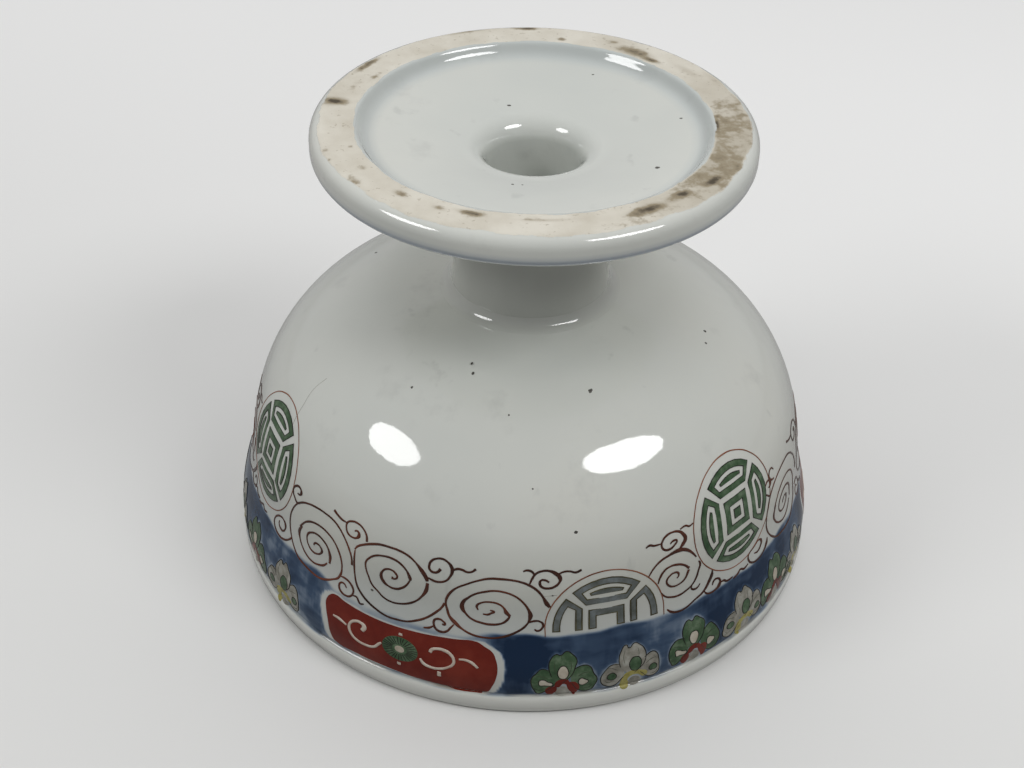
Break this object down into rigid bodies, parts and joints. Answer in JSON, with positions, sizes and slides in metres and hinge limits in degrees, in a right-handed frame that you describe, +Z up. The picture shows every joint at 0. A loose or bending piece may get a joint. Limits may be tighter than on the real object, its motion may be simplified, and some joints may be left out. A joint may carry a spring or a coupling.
{
  "type": "sake cup washing bowl",
  "caption": "Round porcelain bowl with a flared mouth on a hollow stem and a wide spreading foot, stored upside down on its rim.",
  "frame": {"origin": "centre of the rim circle, in the plane that the rim stands on", "axes": "+Z up along the axis of the bowl, from the rim to the foot: the bowl is stored upside down, as pictured. Turn it half way round X for use."},
  "size_m": [0.1524, 0.1524, 0.1195],
  "materials": {
    "bowl_glaze": "clear glossy glaze over white porcelain, with a cobalt band and enamels near the rim",
    "slip_glaze": "clear glossy glaze, pooled in the fillet",
    "foot_glaze": "clear glossy glaze; the foot ring's face is bare biscuit with brown stains"
  },
  "bodies": {
    "root": {"bowl": "bowl_glaze", "luting_slip": "slip_glaze", "pedestal_foot": "foot_glaze"}
  },
  "joints": []
}
